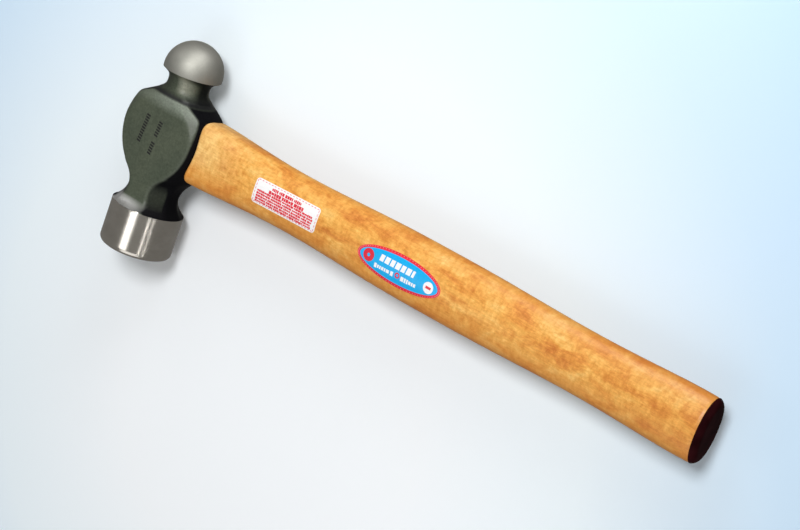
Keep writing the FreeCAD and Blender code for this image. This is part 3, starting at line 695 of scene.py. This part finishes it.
class Inlay:
    """A thin layer of ink that lies on a skin, drawn as patches in the skin's own plan view."""

    def __init__(self, name, tree, centre, turn, lift, depth=0.04):
        self.name = name
        self.tree = tree
        self.centre = centre
        self.turn = math.radians(turn)
        self.lift = lift
        self.depth = depth
        self.build = bmesh.new()

    def place(self, u, v, sink):
        x = (self.centre[0] + u * math.cos(self.turn) - v * math.sin(self.turn)) * MM
        y = (self.centre[1] + u * math.sin(self.turn) + v * math.cos(self.turn)) * MM
        return Vector((x, y, skin_height(self.tree, x, y) + (self.lift - sink) * MM))

    def patch(self, shape, across, along, ring=False):
        """Add a closed sheet; shape turns two numbers from 0 to 1 into a place on the skin."""
        count = along if ring else along + 1
        layers = []
        for sink in (0, self.depth):
            layer = []
            for i in range(across + 1):
                row = [self.build.verts.new(self.place(*shape(i / across, j / along), sink))
                       for j in range(count)]
                layer.append(row)
            layers.append(layer)
        top, bottom = layers

        def quad(a, b, c, d):
            self.build.faces.new((a, b, c, d))

        for i in range(across):
            for j in range(along):
                k = (j + 1) % count
                quad(top[i][j], top[i + 1][j], top[i + 1][k], top[i][k])
                quad(bottom[i][j], bottom[i][k], bottom[i + 1][k], bottom[i + 1][j])
        for j in range(along):
            k = (j + 1) % count
            quad(top[0][j], top[0][k], bottom[0][k], bottom[0][j])
            quad(top[across][j], bottom[across][j], bottom[across][k], top[across][k])
        if not ring:
            for i in range(across):
                quad(top[i][0], bottom[i][0], bottom[i + 1][0], top[i + 1][0])
                quad(top[i][along], top[i + 1][along], bottom[i + 1][along], bottom[i][along])

    def bar(self, u, v, length, height, lean=0.0):
        """A rectangle about u, v, its top shifted by lean."""
        across = max(1, round(height / CELL_HEIGHT))
        along = max(1, round(length / CELL_LENGTH))
        self.patch(lambda s, t: (u + (t - 0.5) * length + (s - 0.5) * lean,
                                 v + (s - 0.5) * height), across, along)

    def ellipse_band(self, u, v, outer, inner, around=96, across=10):
        """The band between two ellipses, each given by its half length and half width."""
        def shape(s, t):
            turn = 2 * math.pi * t
            half_length = inner[0] + (outer[0] - inner[0]) * s
            half_width = inner[1] + (outer[1] - inner[1]) * s
            return u + half_length * math.cos(turn), v + half_width * math.sin(turn)
        self.patch(shape, across, around, ring=True)

    def finish(self, material, slot):
        bmesh.ops.recalc_face_normals(self.build, faces=self.build.faces)
        mesh = bpy.data.meshes.new(self.name)
        self.build.to_mesh(mesh)
        self.build.free()
        mesh.materials.append(material)
        piece = bpy.data.objects.new(self.name, mesh)
        bpy.context.scene.collection.objects.link(piece)
        smooth(piece, PRINT_CREASE)
        return finish_piece(piece)


GROUP = (3, 7)               # fewest and most strokes in a group
NARROWEST = 0.45             # as a share of the widest stroke
STROKE_HEIGHTS = (1.0, 1.0, 0.72)


def broken_row(inlay, chance, start, end, level, height, widest, gap, word_gap):
    """A line of plain strokes in groups, standing in for print without forming any letter."""
    place = start
    left_in_group = chance.randint(*GROUP)
    while place < end:
        width = chance.uniform(NARROWEST, 1.0) * widest
        if place + width > end:
            break
        inlay.bar(place + width / 2, level, width, height * chance.choice(STROKE_HEIGHTS))
        place += width + gap
        left_in_group -= 1
        if left_in_group == 0:
            place += word_gap
            left_in_group = chance.randint(*GROUP)


NOTICE_CENTRE = (EYE.x + 91.2, EYE.y - 0.1)
NOTICE_TURN = 1.0
BORDER_HALF = (20.6, 5.9)          # half length and half width of the dashed frame
BORDER_CORNER = 0.9                # left open at each corner
DASH = (1.2, 0.42)
DASHES = (20, 6)


def make_notice_strokes(tree, red):
    """Generic broken lines on the rectangular label: two short bold rows, then five long fine ones."""
    chance = random.Random(4)
    text = Inlay("notice_strokes", tree, NOTICE_CENTRE, NOTICE_TURN, INK_LIFT)
    broken_row(text, chance, -10.5, 10.0, 4.05, 1.6, 1.4, 0.2, 0.5)
    broken_row(text, chance, -12.0, 12.0, 2.05, 1.75, 2.0, 0.2, 0.5)
    for level in (0.45, -0.95, -2.35, -3.75, -5.05):
        broken_row(text, chance, -19.3, 19.3, level, 1.1, 1.7, 0.15, 0.35)
    text.finish(red, "notice_print")


def make_notice_border(tree, pale_red):
    """A dashed frame inside the rectangular label's edge."""
    border = Inlay("notice_border", tree, NOTICE_CENTRE, NOTICE_TURN, INK_LIFT)
    half_length, half_width = BORDER_HALF
    long_dash, thin_dash = DASH
    for u in np.linspace(BORDER_CORNER - half_length, half_length - BORDER_CORNER, DASHES[0]):
        for v in (half_width, -half_width):
            border.bar(u, v, long_dash, thin_dash)
    for v in np.linspace(BORDER_CORNER - half_width, half_width - BORDER_CORNER, DASHES[1]):
        for u in (half_length, -half_length):
            border.bar(u, v, thin_dash, long_dash)
    border.finish(pale_red, "notice_print")


BADGE_CENTRE = (EYE.x + 167.6, EYE.y - 1.3)
BADGE_TURN = 0.8
FIELD_HALF = (24.6, 6.85)          # half length and half width of the blue field
DOT_RING_HALF = (25.6, 7.8)
DOTS = 84
DOT = (0.24, 0.24)
PINHOLE = (0.04, 0.04)
BAR_WIDTHS = (2.4, 2.7, 2.4, 2.8, 2.4, 2.7, 1.5)
BAR_GAP = 0.8


def make_badge_marks(tree, blue, white, red, pale_red):
    """A blue field with plain white bars, a disc and two rings, and dots round the rim."""
    field = Inlay("badge_field", tree, BADGE_CENTRE, BADGE_TURN, INK_LIFT)
    field.ellipse_band(0, 0, FIELD_HALF, (0.3, 0.1))
    field.finish(blue, "badge_print")

    chance = random.Random(9)
    text = Inlay("badge_bars", tree, BADGE_CENTRE, BADGE_TURN, 2 * INK_LIFT)
    place = -12.2
    for width in BAR_WIDTHS:
        text.bar(place + width / 2, 2.1, width, 3.5, 0.5)
        place += width + BAR_GAP
    broken_row(text, chance, -14.5, -2.4, -2.9, 2.3, 1.9, 0.4, 0.5)
    broken_row(text, chance, 2.4, 13.0, -2.9, 2.3, 1.9, 0.4, 0.5)
    text.ellipse_band(19.0, -0.4, (3.0, 3.0), (0.1, 0.1), 40, 4)
    text.finish(white, "badge_print")

    signs = Inlay("badge_signs", tree, BADGE_CENTRE, BADGE_TURN, 3 * INK_LIFT)
    signs.ellipse_band(-19.2, 0.3, (3.3, 3.3), (0.9, 0.9), 48, 4)
    signs.bar(19.0, -0.4, 3.2, 1.3)
    signs.ellipse_band(0.1, -2.4, (1.5, 1.5), (0.8, 0.8), 32, 1)
    signs.finish(red, "badge_print")

    rope = Inlay("badge_rim_dots", tree, BADGE_CENTRE, BADGE_TURN, INK_LIFT)
    for index in range(DOTS):
        around = 2 * math.pi * index / DOTS
        u = DOT_RING_HALF[0] * math.cos(around)
        v = DOT_RING_HALF[1] * math.sin(around)
        rope.ellipse_band(u, v, DOT, PINHOLE, 6, 1)
    rope.finish(pale_red, "badge_print")


STROKE_PITCH = 1.5
STROKE = (1.0, 2.6)
STROKE_LEAN = 0.4
ROW_TILT = 0.1
STROKE_ROWS = ((-7.4, 9.6, 11), (-11.0, 0.3, 5), (-0.6, -0.5, 6))


def make_stamp(head, black):
    """Plain parallel punch strokes on the upper cheek; a row has a start, a place across and a count."""
    marks = Inlay("cheek_punch_marks", tree_of(head), (EYE.x, EYE.y), 90, lift=0.02, depth=0.05)
    for first, across, strokes in STROKE_ROWS:
        for index in range(strokes):
            along = index * STROKE_PITCH
            marks.bar(first + along, across - ROW_TILT * along, *STROKE, STROKE_LEAN)
    marks.finish(black, "forged_steel")


# ---------------------------------------------------------------- stage

FLOOR_HALF = 3.0             # metres


def make_floor():
    """A square floor, left out of reflections and bounced light."""
    mesh = bpy.data.meshes.new("backdrop")
    build = bmesh.new()
    corners = ((-1, -1), (1, -1), (1, 1), (-1, 1))
    build.faces.new([build.verts.new((x * FLOOR_HALF, y * FLOOR_HALF, 0)) for x, y in corners])
    build.to_mesh(mesh)
    build.free()
    floor = bpy.data.objects.new("backdrop", mesh)
    bpy.context.scene.collection.objects.link(floor)
    mesh.materials.append(floor_finish())
    floor.visible_glossy = False
    floor.visible_diffuse = False


def softbox(name, aim, toward, distance, width, length, power, shadow=True):
    """A rectangular light that shines at a point, its length lying along Y as far as it can.

    Lengths are in metres and power is in watts; toward leads from the point to the light."""
    light = bpy.data.lights.new(name, "AREA")
    light.shape = "RECTANGLE"
    light.size = width
    light.size_y = length
    light.energy = power
    light.use_shadow = shadow
    lamp = bpy.data.objects.new(name, light)
    back = Vector(toward).normalized()
    right = Vector((0, 1, 0)).cross(back).normalized()
    up = back.cross(right)
    turn = Matrix((right, up, back)).transposed().to_4x4()
    lamp.matrix_world = Matrix.Translation(aim + back * distance) @ turn
    bpy.context.scene.collection.objects.link(lamp)


SKY = (1.0, 0.98, 0.95, 1)
SKY_STRENGTH = 0.17


def make_lights():
    """A key and a fill for the whole hammer, small lights for the head's bright bands, and a dim sky."""
    middle = Vector((-0.05, 0.0, 0.02))
    face = (EYE + Vector((0, -52, 0))) * MM
    ball = (EYE + Vector((0, 37, 0))) * MM
    # each has a name, an aim, the way to it, its distance, width, length and power
    softbox("key_light", middle, (0.2, 0.44, 0.88), 2.2, 0.65, 0.65, 29.8)
    softbox("fill_light", middle, (0.22, -0.78, 0.58), 1.6, 1.4, 1.4, 5.5, shadow=False)
    softbox("ball_light", ball, (0.36, 0.86, 0.28), 0.45, 0.3, 0.25, 1.05)
    softbox("band_light", face, (0.06, -0.26, 0.965), 0.35, 0.13, 0.1, 0.088)
    softbox("streak_light_a", face, (0.79, -0.26, 0.56), 0.35, 0.007, 0.2, 0.03)
    softbox("streak_light_b", face, (0.9, -0.26, 0.36), 0.35, 0.005, 0.2, 0.02)
    softbox("rim_light", face, (-0.49, 0.72, 0.48), 0.4, 0.14, 0.14, 0.07)
    world = bpy.data.worlds.new("studio")
    bpy.context.scene.world = world
    world.use_nodes = True
    sky = world.node_tree.nodes["Background"]
    sky.inputs["Color"].default_value = SKY
    sky.inputs["Strength"].default_value = SKY_STRENGTH


SENSOR = 36.0
LENS = 89.7
CAMERA_RIGHT = Vector((0.7621, 0.3383, -0.5520))
CAMERA_UP = Vector((-0.4243, 0.9050, -0.0312))
CAMERA_FROM_EYE = Vector((643.9, 253.3, 823.5))


def make_camera():
    """A long lens above the butt, rolled so that the handle falls to the lower right."""
    camera = bpy.data.cameras.new("camera")
    camera.sensor_width = SENSOR
    camera.lens = LENS
    view = bpy.data.objects.new("camera", camera)
    back = CAMERA_RIGHT.cross(CAMERA_UP)
    turn = Matrix((CAMERA_RIGHT, CAMERA_UP, back)).transposed().to_4x4()
    view.matrix_world = Matrix.Translation((EYE + CAMERA_FROM_EYE) * MM) @ turn
    bpy.context.scene.collection.objects.link(view)
    bpy.context.scene.camera = view


def coat_node(name, material):
    """Give a node of the frame one finish."""
    materials = nodes[name].data.materials
    materials.clear()
    materials.append(material)


red_ink = print_finish("red_ink", (0.68, 0.012, 0.035), (0.82, 0.02, 0.05))
pink_ink = print_finish("pink_ink", (0.8, 0.24, 0.3), (0.88, 0.36, 0.42))
blue_ink = print_finish("blue_ink", (0.0, 0.4, 0.84), (0.0, 0.48, 0.94))
white_ink = print_finish("white_ink", (0.92, 0.92, 0.93), (0.98, 0.98, 0.98))

coat_node("handle", handle_finish())
coat_node("wooden_wedge", wedge_wood_finish())
coat_node("steel_wedge", wedge_steel_finish())
coat_node("butt_dip", butt_finish())
coat_node("rectangular_label", print_finish("label_paper", (0.93, 0.925, 0.93), (0.98, 0.975, 0.98)))
coat_node("oval_label", print_finish("label_rim_red", (0.76, 0.014, 0.035), (0.88, 0.02, 0.05)))

head = make_head((forged_finish(), ground_finish(), ball_finish()))
notice_skin = tree_of(nodes["rectangular_label"], nodes["handle"])
make_notice_strokes(notice_skin, red_ink)
make_notice_border(notice_skin, pink_ink)
badge_skin = tree_of(nodes["oval_label"], nodes["handle"])
make_badge_marks(badge_skin, blue_ink, white_ink, red_ink, pink_ink)
make_stamp(head, stamp_finish())

make_floor()
make_lights()
make_camera()
bpy.context.scene.view_settings.view_transform = "Standard"
